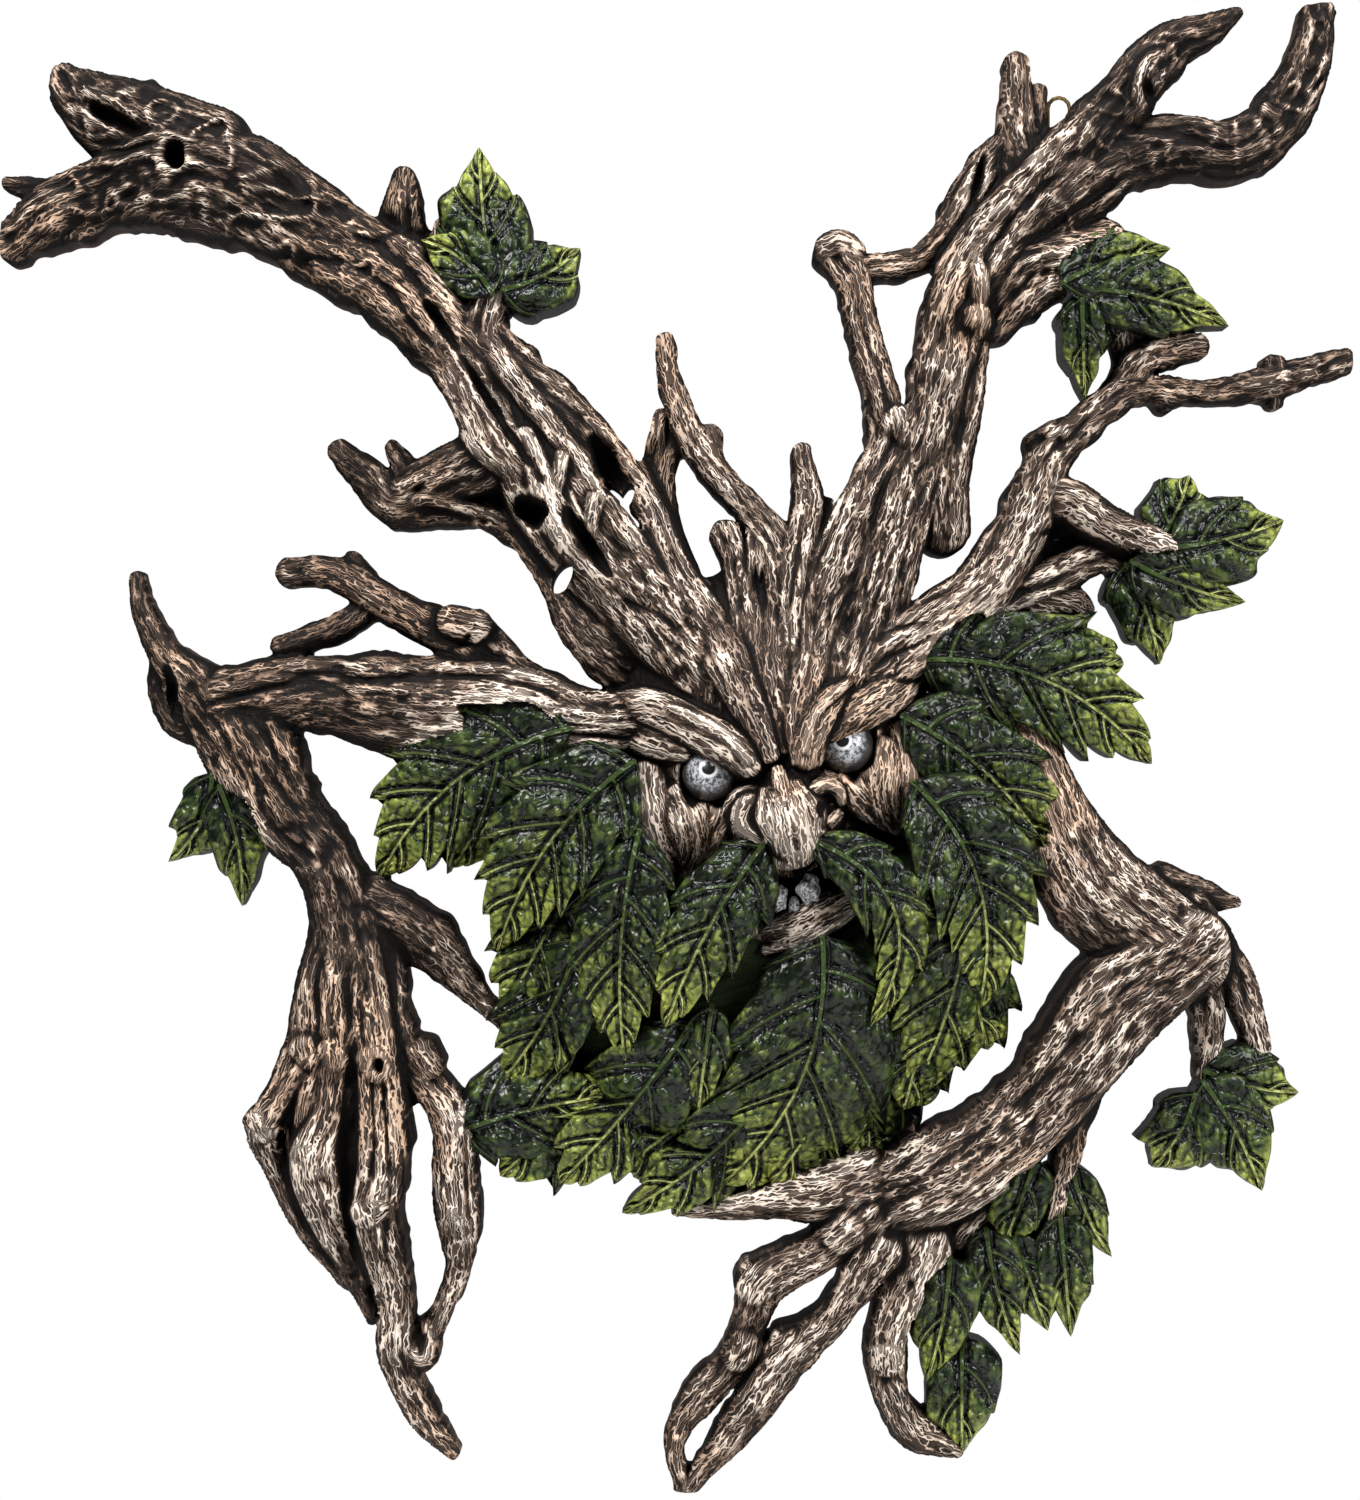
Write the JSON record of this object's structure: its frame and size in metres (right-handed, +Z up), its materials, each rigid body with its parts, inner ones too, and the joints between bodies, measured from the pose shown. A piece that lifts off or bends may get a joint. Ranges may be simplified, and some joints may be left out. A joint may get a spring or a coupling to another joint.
{
  "type": "green_man_wall_plaque",
  "caption": "Wall-hung green man relief plaque in painted cast resin: bearded tree-man face with antler branches, a leaf beard and jointed twig arms, on a brass wire hanging loop",
  "frame": {"origin": "on the flat back of the plaque, behind the face, where it lies on the wall", "axes": "+Z up the plaque, +Y into the wall, +X to the right as it is seen from the front; the carved front faces -Y"},
  "size_m": [0.4065, 0.0646, 0.448],
  "materials": {
    "painted_wood": "dark brown wash, dry-brushed tan, matt to satin",
    "painted_leaf": "dark green shading to yellow-green at the edges, satin",
    "painted_eye": "mottled grey-white with a black pupil, gloss",
    "brass_wire": "drawn wire, slightly dulled"
  },
  "bodies": {
    "root": {"green_man_casting": "painted_wood", "hanging_loop": "brass_wire"}
  },
  "joints": []
}
